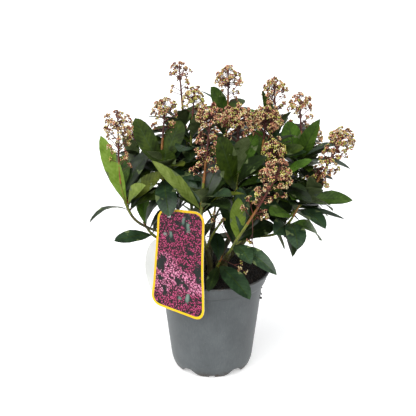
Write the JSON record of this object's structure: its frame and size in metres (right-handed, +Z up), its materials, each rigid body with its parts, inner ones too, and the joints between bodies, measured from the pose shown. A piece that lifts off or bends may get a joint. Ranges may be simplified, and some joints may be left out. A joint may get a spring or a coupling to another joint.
{
  "type": "potted flowering skimmia",
  "caption": "Flowering skimmia shrub in a round nursery pot: compost, forked stems, whorls of leathery leaves, upright heads of closed buds and a hanging plastic label.",
  "frame": {"origin": "centre of the pot's flat underside, on the ground", "axes": "+Z up; -Y towards the side seen in the picture, where the label hangs; +X to that view's right"},
  "size_m": [0.3187, 0.2765, 0.394],
  "materials": {
    "pot_plastic": "satin grey moulded nursery plastic",
    "compost": "dark moist crumbly peat",
    "label_plastic": "printed glossy plastic sheet with a yellow border and a white back",
    "bark": "smooth young green-brown bark",
    "foliage": "glossy leathery evergreen leaves and dull pink-brown buds"
  },
  "bodies": {
    "root": {"pot": "pot_plastic", "compost": "compost", "label": "label_plastic", "stem_left": "bark", "stem_front": "bark", "stem_right_front": "bark", "stem_right": "bark", "stem_back_right": "bark", "stem_back": "bark", "stem_back_left": "bark", "bough_left_front": "bark", "bough_left_mid": "bark", "bough_tall_left": "bark", "bough_inner_left": "bark", "bough_top_back": "bark", "bough_centre_front": "bark", "bough_centre": "bark", "bough_right_front": "bark", "bough_inner_right": "bark", "bough_right_low": "bark", "bough_right_outer": "bark", "bough_centre_right": "bark", "bough_right_top": "bark", "bough_back_right": "bark", "bough_far_right": "bark", "bough_back_left": "bark", "bough_rear_left": "bark", "bough_rear_right": "bark", "bough_low_left": "bark", "bough_low_front": "bark", "bough_low_back": "bark", "mass_left_front": "foliage", "mass_left_mid": "foliage", "mass_tall_left": "foliage", "mass_inner_left": "foliage", "mass_top_back": "foliage", "mass_centre_front": "foliage", "mass_centre": "foliage", "mass_right_front": "foliage", "mass_inner_right": "foliage", "mass_right_low": "foliage", "mass_right_outer": "foliage", "mass_centre_right": "foliage", "mass_right_top": "foliage", "mass_back_right": "foliage", "mass_far_right": "foliage", "mass_back_left": "foliage", "mass_rear_left": "foliage", "mass_rear_right": "foliage", "mass_low_left": "foliage", "mass_low_front": "foliage", "mass_low_back": "foliage"}
  },
  "joints": []
}
